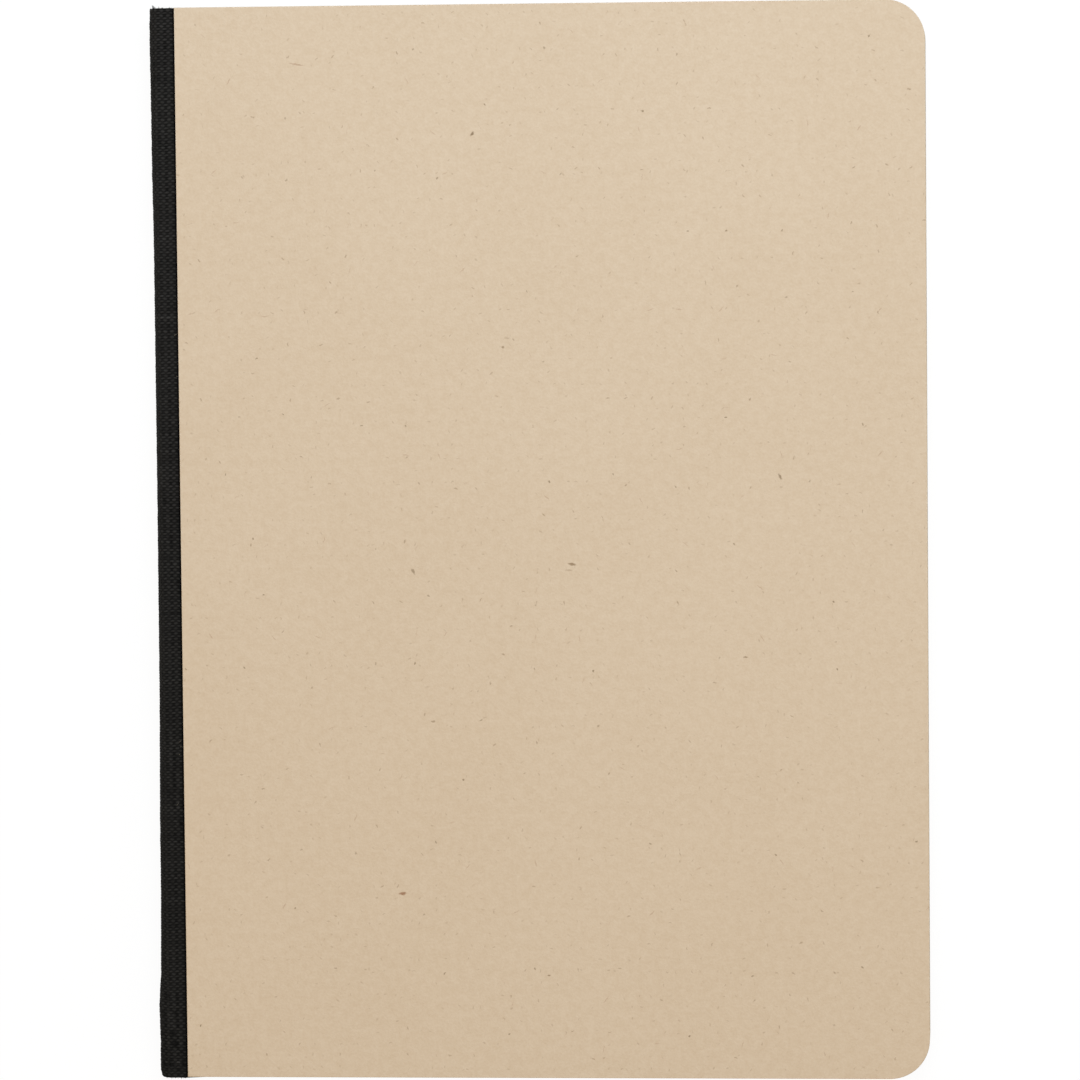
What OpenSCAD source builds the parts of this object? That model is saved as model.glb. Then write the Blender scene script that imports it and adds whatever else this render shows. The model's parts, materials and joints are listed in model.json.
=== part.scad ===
// Closed composition notebook, quarter bound: two bare kraft boards on a woven cloth spine,
// over a block of thread-sewn sections with folded endpapers.
// Z is up and the book lies on its back board. The spine is at -X, the fore edge at +X,
// and the head of the book at +Y. The origin is the centre of the footprint.

/* [Covers] */
// Height of the boards and leaves, head to tail
book_h = 210; // [140:1:320]
// Width of a board, from its inner edge to the fore edge
board_w = 146; // [90:0.5:230]
// Thickness of a board
board_t = 1; // [0.6:0.1:3]
// Radius of the rounded corners at the fore edge
corner_r = 5.5; // [2:0.5:20]

/* [Sections] */
// Number of folded sections sewn into the block
section_count = 9; // [5:1:16]
// Thickness of one pressed section
section_t = 0.8; // [0.6:0.05:1.4]
// How far the middle section stands out behind the outermost ones
rounding = 1; // [0.3:0.1:1]
// Width of the parting between two sections at the trimmed edges
parting_w = 0.06; // [0.02:0.01:0.15]
// How deep that parting runs in from the trimmed edges
parting_depth = 0.4; // [0.1:0.1:1.5]

/* [Spine] */
// Width of cloth that shows beside a board, out to the back of the spine
cloth_show = 5.4; // [4.6:0.1:12]
// Thickness of the spine cloth
cloth_t = 0.35; // [0.2:0.05:0.5]
// How far the cloth runs in under each board
cloth_turn_in = 8; // [4:0.5:20]
// Thickness of the gauze lining glued over the sewn back
lining_t = 0.14; // [0.1:0.02:0.4]
// How far the lining stops short of the head and the tail
lining_short = 4; // [1:0.5:10]
// Film of glue between the folds, the threads, the lining and the cloth
glue_t = 0.02; // [0.01:0.01:0.05]

/* [Endpapers] */
// Thickness of the endpaper sheet
endpaper_t = 0.16; // [0.1:0.01:0.3]
// Least air between the two leaves of a closed endpaper
leaf_gap = 0.05; // [0.02:0.01:0.1]

/* [Sewing] */
// Diameter of the sewing thread
thread_d = 0.2; // [0.1:0.05:0.4]
// Number of threads sewn across the back, one at each station
station_count = 8; // [4:1:12]
// Distance from the head or tail to the nearest thread
station_inset = 12; // [6:0.5:25]

/* [Hidden] */
$fn = 96;

// Heights above and below the middle plane of the book
wrap_t = max(2 * endpaper_t + leaf_gap, thread_d + lining_t + 3 * glue_t);
fold_r = section_t / 2;
half_block = section_count * section_t / 2;
outer_fold_z = half_block - fold_r;
board_in_z = half_block + wrap_t;
board_out_z = board_in_z + board_t;
mid_z = board_out_z;

// Places across the book
book_w = board_w + cloth_show;
fore_x = book_w / 2;
back_x = -book_w / 2;
board_x = fore_x - board_w;

// The folds of the sections stand on an arc. The cloth keeps one distance from every fold,
// so its back is a wider arc about the same centre and its shoulders turn round the outer folds.
fold_path_r = (pow(rounding, 2) + pow(outer_fold_z, 2)) / (2 * rounding);
shoulder_r = fold_r + wrap_t + cloth_t;
back_r = fold_path_r + shoulder_r;
back_cx = back_x + back_r;
shoulder_x = back_cx - fold_path_r + rounding;
shoulder_deg = asin(outer_fold_z / fold_path_r);
thread_in_r = fold_path_r + fold_r + glue_t;
lining_in_r = thread_in_r + thread_d + glue_t;

board_color = "#D6C2A6";
cloth_color = "#242322";
page_color = "#F3EEE2";
endpaper_color = "#ECE5D6";
lining_color = "#E2DCCB";
thread_color = "#F6F2E8";

// Outline seen from above, from x0 to the fore edge, with its two fore-edge corners rounded.
// A cut-back outline lies that far inside the trimmed edges.
module leaf_outline(x0, cut_back = 0) {
    edge_x = fore_x - cut_back;
    edge_y = book_h / 2 - cut_back;
    r = corner_r - cut_back;
    translate([x0, -edge_y])
        square([edge_x - r - x0, 2 * edge_y]);
    translate([x0, r - edge_y])
        square([edge_x - x0, 2 * (edge_y - r)]);
    for (side = [-1, 1])
        translate([edge_x - r, side * (edge_y - r)])
            circle(r = r);
}

// A flat layer with the leaves' outline, from the height z upwards
module leaf_layer(z, thickness) {
    translate([0, 0, z])
        linear_extrude(height = thickness)
            leaf_outline(back_x);
}

// A section seen from the tail, drawn out along the spine
module along_spine(length) {
    rotate([90, 0, 0])
        linear_extrude(height = length, center = true)
            children();
}

// Half a plane whose edge passes through the origin, on the side that deg points to
module half_plane(deg, size) {
    rotate(deg)
        translate([0, -size])
            square([size, 2 * size]);
}

// Part of a disc about the origin, between two directions less than 180 degrees apart
module sector(r, from_deg, to_deg) {
    intersection() {
        circle(r = r);
        half_plane(from_deg + 90, 2 * r);
        half_plane(to_deg - 90, 2 * r);
    }
}

// A folded sheet or section as the tail shows it: a bar from x0 to x1 with its left end round
module round_ended(x0, x1, r) {
    translate([x0, 0])
        circle(r = r);
    translate([x0, -r])
        square([x1 - x0, 2 * r]);
}

// All that lies within r of the sections' fold line, and on between flat faces as far as x1
module wrapped(r, x1) {
    translate([back_cx, 0])
        sector(fold_path_r + r, 180 - shoulder_deg, 180 + shoulder_deg);
    for (side = [-1, 1])
        translate([shoulder_x, side * outer_fold_z])
            circle(r = r);
    translate([shoulder_x, -outer_fold_z - r])
        square([x1 - shoulder_x, 2 * (outer_fold_z + r)]);
}

module board() {
    color(board_color)
        difference() {
            linear_extrude(height = board_t)
                leaf_outline(board_x);
            // the cloth is pressed into the inner face
            translate([board_x - cloth_turn_in, -book_h, -cloth_t])
                cube([2 * cloth_turn_in, 2 * book_h, 2 * cloth_t]);
        }
}

module front_board() {
    translate([0, 0, mid_z + board_in_z])
        board();
}

module back_board() {
    translate([0, 0, mid_z - board_in_z])
        mirror([0, 0, 1])
            board();
}

// One strip of cloth: in under a board, round both shoulders and the back, and in again
module spine_cloth() {
    cloth_end_x = board_x + cloth_turn_in;
    color(cloth_color)
        translate([0, 0, mid_z])
            along_spine(book_h)
                difference() {
                    wrapped(shoulder_r, cloth_end_x);
                    wrapped(shoulder_r - cloth_t, cloth_end_x + book_w);
                }
}

// A sheet folded once: one leaf lies on the block, the other is pasted to the board
module endpaper() {
    turn_r = wrap_t / 2;
    color(endpaper_color)
        intersection() {
            translate([0, 0, turn_r])
                along_spine(2 * book_h)
                    difference() {
                        round_ended(shoulder_x, fore_x, turn_r);
                        round_ended(shoulder_x, fore_x + book_w, turn_r - endpaper_t);
                    }
            leaf_layer(-wrap_t, 3 * wrap_t);
        }
}

module front_endpaper() {
    translate([0, 0, mid_z + half_block])
        endpaper();
}

module back_endpaper() {
    translate([0, 0, mid_z - half_block])
        mirror([0, 0, 1])
            endpaper();
}

function section_z(i) = (i - (section_count - 1) / 2) * section_t;
function fold_x(z) = back_cx - sqrt(pow(fold_path_r, 2) - pow(z, 2));

// The sections side by side, each folded round at the back, and pressed into one block
module sections() {
    along_spine(2 * book_h) {
        for (i = [0 : section_count - 1])
            translate([0, section_z(i)])
                round_ended(fold_x(section_z(i)), fore_x, fold_r);
        translate([shoulder_x, -outer_fold_z])
            square([fore_x - shoulder_x, 2 * outer_fold_z]);
    }
}

// Thin gap all round the trimmed edges, where two sections lie on each other
module parting(z) {
    translate([0, 0, z - parting_w / 2])
        linear_extrude(height = parting_w)
            difference() {
                translate([back_x - book_w, -book_h])
                    square([3 * book_w, 2 * book_h]);
                leaf_outline(back_x - book_w, parting_depth);
            }
}

// The leaves, cut flush with the boards at the head, the fore edge and the tail
module page_block() {
    color(page_color)
        translate([0, 0, mid_z])
            difference() {
                intersection() {
                    sections();
                    leaf_layer(-2 * half_block, 4 * half_block);
                }
                for (i = [1 : section_count - 1])
                    parting(section_z(i) - fold_r);
            }
}

module spine_lining() {
    color(lining_color)
        translate([back_cx, 0, mid_z])
            along_spine(book_h - 2 * lining_short)
                difference() {
                    sector(lining_in_r + lining_t, 180 - shoulder_deg, 180 + shoulder_deg);
                    circle(r = lining_in_r);
                }
}

function station_y(i) =
    let (last_y = book_h / 2 - station_inset)
    -last_y + i * 2 * last_y / (station_count - 1);

// The threads that tie section to section, one across the back at each station
module sewing_threads() {
    color(thread_color)
        for (i = [0 : station_count - 1])
            translate([back_cx, station_y(i), mid_z])
                rotate([90, 0, 0])
                    rotate([0, 0, 180 - shoulder_deg])
                        rotate_extrude(angle = 2 * shoulder_deg)
                            translate([thread_in_r + thread_d / 2, 0])
                                circle(d = thread_d);
}

front_board();
back_board();
spine_cloth();
front_endpaper();
back_endpaper();
page_block();
spine_lining();
sewing_threads();
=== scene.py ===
import json
import math

import bpy
import numpy as np
from mathutils import Matrix, Vector


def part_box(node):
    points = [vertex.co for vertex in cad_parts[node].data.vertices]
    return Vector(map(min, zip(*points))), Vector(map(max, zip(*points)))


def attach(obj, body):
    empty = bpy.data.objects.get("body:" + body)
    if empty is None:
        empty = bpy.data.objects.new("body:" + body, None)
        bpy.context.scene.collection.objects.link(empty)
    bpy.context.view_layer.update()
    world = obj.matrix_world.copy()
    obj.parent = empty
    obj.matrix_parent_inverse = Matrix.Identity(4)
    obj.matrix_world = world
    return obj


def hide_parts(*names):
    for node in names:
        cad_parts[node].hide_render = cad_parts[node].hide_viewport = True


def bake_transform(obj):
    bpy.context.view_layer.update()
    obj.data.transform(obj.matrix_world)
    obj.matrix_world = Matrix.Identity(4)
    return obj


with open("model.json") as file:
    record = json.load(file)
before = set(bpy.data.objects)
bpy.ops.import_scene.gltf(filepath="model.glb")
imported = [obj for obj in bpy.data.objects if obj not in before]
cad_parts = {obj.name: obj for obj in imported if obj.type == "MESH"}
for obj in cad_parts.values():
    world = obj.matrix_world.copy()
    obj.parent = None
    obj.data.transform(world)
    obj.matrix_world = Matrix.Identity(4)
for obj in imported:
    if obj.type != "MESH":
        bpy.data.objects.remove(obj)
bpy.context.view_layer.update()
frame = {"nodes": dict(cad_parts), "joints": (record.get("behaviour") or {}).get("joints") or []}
mm = 0.001

# Places that every piece shares, in millimetres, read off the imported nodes
boardLow, boardHigh = [np.array(corner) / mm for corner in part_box("front_board")]
blockLow, blockHigh = [np.array(corner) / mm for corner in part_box("page_block")]
clothHigh = np.array(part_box("spine_cloth")[1]) / mm
hinge = np.array([joint["pos_m"] for joint in frame["joints"] if joint["child"] == "front_cover"][0]) / mm
halfHeight = boardHigh[1]
foreX = boardHigh[0]
boardX = boardLow[0]
clothEndX = clothHigh[0]
shoulderX = hinge[0]

# Heights are counted from the book's middle plane
middleZ = (blockLow[2] + blockHigh[2]) / 2
halfBlock = blockHigh[2] - middleZ
boardInner = boardLow[2] - middleZ
boardOuter = boardHigh[2] - middleZ
clothOuter = clothHigh[2] - middleZ

book = {
    "sections": 9,
    "leavesPerSection": 8,
    "cornerRadius": 7.8,  # read off the photo again; the imported parts were made with 5.5
    "clothThickness": 0.35,
    "endpaperThickness": 0.16,
}

# The sewn back: round folds on an arc from shoulder to shoulder, and the cloth's wider arc outside them
foldRadius = halfBlock / book["sections"]
leafPitch = 2 * foldRadius / book["leavesPerSection"]
outerFoldZ = halfBlock - foldRadius
rounding = shoulderX - blockLow[0] - foldRadius
foldPathRadius = (rounding**2 + outerFoldZ**2) / (2 * rounding)
backCentreX = shoulderX + foldPathRadius - rounding
shoulderRadius = clothOuter - outerFoldZ
backRadius = foldPathRadius + shoulderRadius
shoulderTurn = math.asin(outerFoldZ / foldPathRadius)
print("places read, the book is", round(boardOuter * 2, 2), "mm thick")


def linear(hexText):  # sRGB hex to linear: ((c + 0.055) / 1.055) ^ 2.4, or c / 12.92 near black
    parts = [int(hexText[i : i + 2], 16) / 255 for i in (1, 3, 5)]
    return [c / 12.92 if c <= 0.04045 else ((c + 0.055) / 1.055) ** 2.4 for c in parts] + [1.0]


def addNode(tree, kind, inputs=None, **settings):  # one node, its settings, then its sockets or links
    node = tree.nodes.new(kind)
    for key, value in settings.items():
        setattr(node, key, value)
    for key, value in (inputs or {}).items():
        if isinstance(value, bpy.types.NodeSocket):
            tree.links.new(value, node.inputs[key])
        else:
            node.inputs[key].default_value = value
    return node


def newMaterial(name):  # a material with no nodes in it yet, and its node tree
    material = bpy.data.materials.new(name)
    material.use_nodes = True
    material.node_tree.nodes.clear()
    return material, material.node_tree


def newObject(name, data):  # an object at the origin of the scene that shows this mesh, lamp or camera
    made = bpy.data.objects.new(name, data)
    bpy.context.scene.collection.objects.link(made)
    return made


# Camera and lights

camera = {
    "lensPixels": 5600,  # focal length, counted in pixels of the 1080 px frame
    "framePixels": 1080,
    "sensorMm": 36,
    "clip": (0.01, 20),  # nearest and farthest place that is drawn, in metres
    "tiltToHead": 3.58,  # degrees that the book leans away from square to the lens
    "tiltToFore": -4.428,
    "roll": 0.527,
    "aim": (0.473, -0.140, 1102.06),  # where the origin lies before the lens: right, up and away, in mm
}


def placeCamera(settings):
    # To the lens, the book is turned by the roll, then both tilts, and moved by the aim. The camera gets
    # the inverse: it is turned back the other way, and stands where that turn takes the aim reversed.
    tiltX, tiltY, roll = [math.radians(settings[key]) for key in ("tiltToHead", "tiltToFore", "roll")]
    turn = Matrix.Rotation(tiltX, 3, "X") @ Matrix.Rotation(tiltY, 3, "Y") @ Matrix.Rotation(roll, 3, "Z")
    right, up, away = settings["aim"]
    data = bpy.data.cameras.new("camera")
    data.sensor_width = settings["sensorMm"]
    data.lens = settings["sensorMm"] * settings["lensPixels"] / settings["framePixels"]
    data.clip_start, data.clip_end = settings["clip"]
    place = turn.transposed() @ Vector((-right, -up, away)) * mm
    made = newObject("camera", data)
    made.matrix_world = Matrix.Translation(place) @ turn.transposed().to_4x4()
    bpy.context.scene.camera = made


# places and sizes in metres
lights = {
    "worldStrength": 0.5,
    "worldColour": "#FFF4E5",
    "seenStrength": 1.0,
    "seenColour": "#FFFFFF",  # what the camera and mirrors see behind everything
    "lamps": [
        {"name": "headWindow", "place": (0.10, 0.45, 0.50), "size": 0.35, "watts": 2.6, "colour": "#CEE5FF"},
        {"name": "overhead", "place": (0.02, 0.0, 1.05), "size": 0.60, "watts": 2.5, "colour": "#FFF2E6"},
    ],
}


def placeLights(settings):
    # Round lamps turned to face the origin. The world is warm and soft for the light that it gives, and
    # plain white for rays that come straight from the eye, off a mirror or through glass.
    for lamp in settings["lamps"]:
        data = bpy.data.lights.new(lamp["name"], "AREA")
        data.shape = "DISK"
        data.size = lamp["size"]
        data.energy = lamp["watts"]
        data.color = linear(lamp["colour"])[:3]
        made = newObject(lamp["name"], data)
        made.location = lamp["place"]
        made.rotation_mode = "QUATERNION"
        made.rotation_quaternion = (-Vector(lamp["place"])).to_track_quat("-Z", "Y")
    world = bpy.data.worlds.new("studio")
    bpy.context.scene.world = world
    world.use_nodes = True
    tree = world.node_tree
    tree.nodes.clear()
    rays = addNode(tree, "ShaderNodeLightPath")
    seen = rays.outputs["Is Camera Ray"]
    for ray in ("Is Glossy Ray", "Is Transmission Ray"):
        either = addNode(tree, "ShaderNodeMath", {0: seen, 1: rays.outputs[ray]}, operation="MAXIMUM")
        seen = either.outputs[0]
    given = {"Color": linear(settings["worldColour"]), "Strength": settings["worldStrength"]}
    shown = {"Color": linear(settings["seenColour"]), "Strength": settings["seenStrength"]}
    soft = addNode(tree, "ShaderNodeBackground", given)
    white = addNode(tree, "ShaderNodeBackground", shown)
    mixed = addNode(tree, "ShaderNodeMixShader", {0: seen, 1: soft.outputs[0], 2: white.outputs[0]})
    addNode(tree, "ShaderNodeOutputWorld", {"Surface": mixed.outputs[0]})


floor = {
    "reach": 3.0,  # in metres, like the drop, which keeps it just clear of the book
    "drop": 0.00005,
    "paper": "#F2F2F0",
    "white": "#FFFFFF",
    "ownLight": 0.9,  # share of the floor that glows by itself to the camera
    "glow": 1.03,
}


def placeFloor(settings):  # a flat square; the camera sees it nearly white, with the book's soft shadow
    reach, z = settings["reach"], -settings["drop"]
    corners = [(-reach, -reach, z), (reach, -reach, z), (reach, reach, z), (-reach, reach, z)]
    mesh = bpy.data.meshes.new("floor")
    mesh.from_pydata(corners, [], [(0, 1, 2, 3)])
    material, tree = newMaterial("studioPaper")
    direct = addNode(tree, "ShaderNodeLightPath").outputs["Is Camera Ray"]
    lit = addNode(tree, "ShaderNodeBsdfDiffuse", {"Color": linear(settings["paper"])}).outputs[0]
    light = {"Color": linear(settings["white"]), "Strength": settings["glow"]}
    glow = addNode(tree, "ShaderNodeEmission", light).outputs[0]
    share = addNode(tree, "ShaderNodeMath", {0: direct, 1: settings["ownLight"]}, operation="MULTIPLY")
    mixed = addNode(tree, "ShaderNodeMixShader", {0: share.outputs[0], 1: lit, 2: glow})
    addNode(tree, "ShaderNodeOutputMaterial", {"Surface": mixed.outputs[0]})
    mesh.materials.append(material)
    newObject("floor", mesh)


placeCamera(camera)
placeLights(lights)
placeFloor(floor)
bpy.context.scene.view_settings.view_transform = "Standard"
print("camera, lights and floor placed")


# What the meshes share


def meshObject(name, points, faces, smooth):
    # points in mm from the middle plane, faces as index lists, and for each face whether it shades smooth
    mesh = bpy.data.meshes.new(name)
    placed = (np.asarray(points, float) + [0, 0, middleZ]) * mm
    mesh.from_pydata(placed.tolist(), [], faces)
    mesh.polygons.foreach_set("use_smooth", np.asarray(smooth, bool))
    mesh.update()
    return newObject(name, mesh)


def gridFaces(rows, cols, first=0, closed=False):  # quads between neighbouring rows and columns of a grid
    index = first + np.arange(rows * cols).reshape(rows, cols)
    if closed:
        index = np.concatenate([index, index[:, :1]], axis=1)
    quads = np.stack([index[:-1, :-1], index[:-1, 1:], index[1:, 1:], index[1:, :-1]], axis=-1)
    return quads.reshape(-1, 4).tolist()


def mirrored(points, faces, side):  # side -1 turns a piece of the front cover into one of the back cover
    if side == 1:
        return points, faces
    return points * [1, 1, -1], [face[::-1] for face in faces]


def wave(t, height, seed, low, high, terms=5):
    # A smooth random wave: the height times a sum of sines, whose lengths between low and high and whose
    # phases are drawn. The sum is divided by the root of their number.
    draw = np.random.default_rng(seed)
    total = np.zeros_like(np.asarray(t, float))
    for k in range(terms):
        length = low * (high / low) ** draw.random()
        total = total + np.sin(2 * np.pi * (t / length + draw.random())) / terms**0.5
    return height * total


def smoothStep(value, low, high):  # climbs from 0 at low to 1 at high, as t^2 (3 - 2 t)
    t = np.clip((value - low) / (high - low), 0, 1)
    return t * t * (3 - 2 * t)


# What the materials share


def objectPlace(tree, shift=(0, 0, 0)):  # object coordinates in mm
    coordinates = addNode(tree, "ShaderNodeTexCoord")
    inMm = {"Vector": coordinates.outputs["Object"], "Scale": (1 / mm,) * 3, "Location": shift}
    return addNode(tree, "ShaderNodeMapping", inMm).outputs[0]


def unevenness(tree, place, size, detail=2.0, roughness=0.5, spread=0.15):
    # Noise of one real size. It stays near one half, so what lies within the spread of that becomes 0 to 1.
    shape = {"Vector": place, "Scale": 1 / size, "Detail": detail, "Roughness": roughness}
    noise = addNode(tree, "ShaderNodeTexNoise", shape)
    limits = {"Value": noise.outputs[0], "From Min": 0.5 - spread, "From Max": 0.5 + spread}
    return addNode(tree, "ShaderNodeMapRange", limits).outputs[0]


def weightedSum(tree, total, parts):  # the total and each value times its weight: t + w1 v1 + w2 v2 ...
    for value, weight in parts:
        grown = addNode(tree, "ShaderNodeMath", {0: value, 1: weight, 2: total}, operation="MULTIPLY_ADD")
        total = grown.outputs[0]
    return total


def layCoats(tree, colour, coats):
    # Each coat covers what lies under it by its share: c + share (coat - c). Sockets 0, 6 and 7 of a colour
    # mix are the share, the colour below and the one above, and its result is output 2.
    for share, coat in coats:
        mixed = addNode(tree, "ShaderNodeMix", {0: share, 6: colour, 7: coat}, data_type="RGBA")
        colour = mixed.outputs[2]
    return colour


def finishMaterial(tree, colour, height, settings):  # the relief, shader and output that end every surface
    bump = addNode(tree, "ShaderNodeBump", {"Height": height, **settings["bump"]})
    surface = {"Base Color": colour, "Normal": bump.outputs[0], **settings["shine"]}
    shader = addNode(tree, "ShaderNodeBsdfPrincipled", surface)
    addNode(tree, "ShaderNodeOutputMaterial", {"Surface": shader.outputs[0]})


# Kraft board: pressed waste pulp with no liner. Its long fibres give a soft mottle, its shives give
# small dark flecks, and the die-cut edge shows the pulp in layers.

kraftBoard = {
    "face": "#D8C3A7",
    "shade": "#CDB697",
    "glint": "#E2D0B6",
    "edge": "#C3AC8D",
    "fleck": "#856948",
    "dark": "#715938",
    "rust": "#A0785B",
    "pulp": {  # how its fibres lie unevenly, with sizes in mm
        "mottle": {"size": 1.7, "detail": 3.0, "roughness": 0.6},
        "grain": {"size": 0.5, "roughness": 0.6},
        "cloud": {"size": 24.0},
    },
    "toneBase": 0.08,  # the tone from shade to glint, and what each unevenness adds to it
    "toneShares": {"mottle": 0.43, "grain": 0.42, "cloud": 0.15},
    "evenShare": 0.55,  # how far the plain face colour covers that tone
    "edgeStretch": (0.08, 0.08, 9.0),  # makes layers 12 mm long and 0.1 mm thick out of noise of 1 mm
    "edgeLayers": {"size": 1.0, "detail": 3.0, "roughness": 0.65, "spread": 0.2},
    "edgeFacing": (0.8, 0.3),  # upright part of the surface's direction where the edge begins and is full
    "bump": {"Strength": 0.5, "Distance": 0.035 * mm},
    "shine": {"Roughness": 0.86, "Specular IOR Level": 0.2},
    "raggedMm": 0.45,  # how far the outline of a fleck strays
    "fleckRim": (1.15, 0.45),  # how far out a fleck begins and is full, in half sizes
    "cellScatter": 0.8,  # 0 would set the flecks in a grid, and 1 is fully random
    "layerShift": (7.3, 3.1),  # cells by which each layer is moved, so that no two lie alike
    "faintest": 0.35,  # share of a layer's depth that its faintest fleck has
    # cell size, share of cells that hold a fleck, its length and width in mm, and how dark it is
    "fleckLayers": [
        {"cell": 2.4, "share": 0.36, "size": (0.70, 0.27), "depth": 0.29, "colour": "fleck"},
        {"cell": 5.6, "share": 0.32, "size": (0.85, 0.30), "depth": 0.46, "colour": "fleck"},
        {"cell": 12.0, "share": 0.36, "size": (0.62, 0.36), "depth": 0.66, "colour": "dark"},
        {"cell": 9.0, "share": 0.26, "size": (1.60, 0.22), "depth": 0.38, "colour": "rust"},
        {"cell": 4.1, "share": 0.34, "size": (1.00, 0.26), "depth": 0.32, "colour": "glint"},
    ],
    # the flecks that stand out on the front: place from the centre, length and width, degrees, depth
    "marks": [
        {"at": (-12.2, 79.9), "size": (1.25, 0.60), "turn": 55, "depth": 0.72, "colour": "dark"},
        {"at": (-27.4, -68.6), "size": (1.65, 0.72), "turn": 5, "depth": 0.90, "colour": "rust"},
        {"at": (6.5, -4.0), "size": (1.75, 0.65), "turn": -8, "depth": 0.72, "colour": "fleck"},
        {"at": (5.9, -5.2), "size": (1.70, 0.42), "turn": -2, "depth": 0.27, "colour": "fleck"},
        {"at": (47.2, 12.9), "size": (1.45, 0.62), "turn": 114, "depth": 0.64, "colour": "dark"},
        {"at": (-24.6, -5.3), "size": (1.42, 0.62), "turn": 114, "depth": 0.54, "colour": "dark"},
        {"at": (21.0, 84.0), "size": (0.78, 0.62), "turn": 0, "depth": 0.59, "colour": "dark"},
        {"at": (1.3, -84.7), "size": (0.62, 0.44), "turn": 30, "depth": 0.68, "colour": "fleck"},
        {"at": (-6.6, 38.4), "size": (0.65, 0.50), "turn": 100, "depth": 0.58, "colour": "fleck"},
        {"at": (-5.7, 40.2), "size": (1.25, 0.42), "turn": 0, "depth": 0.24, "colour": "fleck"},
        {"at": (72.6, 87.7), "size": (1.10, 0.42), "turn": 2, "depth": 0.45, "colour": "fleck"},
        {"at": (40.3, -22.3), "size": (1.15, 0.44), "turn": 5, "depth": 0.56, "colour": "fleck"},
        {"at": (-21.0, -34.7), "size": (1.10, 0.52), "turn": 0, "depth": 0.50, "colour": "fleck"},
        {"at": (-46.4, 93.7), "size": (3.40, 0.38), "turn": -9, "depth": 0.46, "colour": "rust"},
    ],
}


def flatPlace(tree, place, shift):  # the place moved by the shift, with the height taken out
    moved = addNode(tree, "ShaderNodeVectorMath", {0: place, 1: shift}, operation="ADD")
    flat = addNode(tree, "ShaderNodeVectorMath", {0: moved.outputs[0], 1: (1, 1, 0)}, operation="MULTIPLY")
    return flat.outputs[0]


def ellipseMask(tree, offset, turn, size, rim):
    # 1 inside a turned ellipse and 0 outside: the offset is turned back and divided by half the length and
    # half the width, and the length of what is left says how far out it lies.
    lay = {"Vector": offset, "Angle": turn}
    turned = addNode(tree, "ShaderNodeVectorRotate", lay, rotation_type="Z_AXIS")
    perHalf = (2 / size[0], 2 / size[1], 0)
    scaled = addNode(tree, "ShaderNodeVectorMath", {0: turned.outputs[0], 1: perHalf}, operation="MULTIPLY")
    reach = addNode(tree, "ShaderNodeVectorMath", {0: scaled.outputs[0]}, operation="LENGTH")
    limits = {"Value": reach.outputs["Value"], "From Min": rim[0], "From Max": rim[1]}
    return addNode(tree, "ShaderNodeMapRange", limits, interpolation_type="SMOOTHSTEP").outputs[0]


def fleckLayer(tree, place, layer, settings):
    # One fleck at each cell's scattered point. The cell's random colour gives its turn, whether it is there
    # at all, and how deep it is: ellipse x there x depth.
    shiftX, shiftY = settings["layerShift"]
    moved = flatPlace(tree, place, (layer["cell"] * shiftX, layer["cell"] * shiftY, 0))
    spacing = {"Vector": moved, "Scale": 1 / layer["cell"], "Randomness": settings["cellScatter"]}
    cells = addNode(tree, "ShaderNodeTexVoronoi", spacing, voronoi_dimensions="2D", feature="F1")
    centre = cells.outputs["Position"]
    offset = addNode(tree, "ShaderNodeVectorMath", {0: moved, 1: centre}, operation="SUBTRACT")
    drawn = addNode(tree, "ShaderNodeSeparateColor", {"Color": cells.outputs["Color"]})
    turn = addNode(tree, "ShaderNodeMath", {0: drawn.outputs[0], 1: 2 * math.pi}, operation="MULTIPLY")
    mask = ellipseMask(tree, offset.outputs[0], turn.outputs[0], layer["size"], settings["fleckRim"])
    held = addNode(tree, "ShaderNodeMath", {0: drawn.outputs[1], 1: layer["share"]}, operation="LESS_THAN")
    depths = {"To Min": settings["faintest"] * layer["depth"], "To Max": layer["depth"]}
    depth = addNode(tree, "ShaderNodeMapRange", {"Value": drawn.outputs[2], **depths}).outputs[0]
    there = addNode(tree, "ShaderNodeMath", {0: mask, 1: held.outputs[0]}, operation="MULTIPLY").outputs[0]
    return addNode(tree, "ShaderNodeMath", {0: there, 1: depth}, operation="MULTIPLY").outputs[0]


def markMask(tree, place, mark, settings):  # one fleck at a chosen place: its ellipse times its depth
    offset = flatPlace(tree, place, (-mark["at"][0], -mark["at"][1], 0))
    mask = ellipseMask(tree, offset, math.radians(-mark["turn"]), mark["size"], settings["fleckRim"])
    return addNode(tree, "ShaderNodeMath", {0: mask, 1: mark["depth"]}, operation="MULTIPLY").outputs[0]


def raggedPlace(tree, place, reach):
    # The place strays by noise that is as fine as its reach: place + reach (noise - 0.5)
    noise = addNode(tree, "ShaderNodeTexNoise", {"Vector": place, "Scale": 1 / reach, "Detail": 1.0})
    centred = {0: noise.outputs["Color"], 1: (0.5, 0.5, 0.5)}
    stray = addNode(tree, "ShaderNodeVectorMath", centred, operation="SUBTRACT")
    moved = {0: stray.outputs[0], 1: (reach,) * 3, 2: place}
    return addNode(tree, "ShaderNodeVectorMath", moved, operation="MULTIPLY_ADD").outputs[0]


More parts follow.
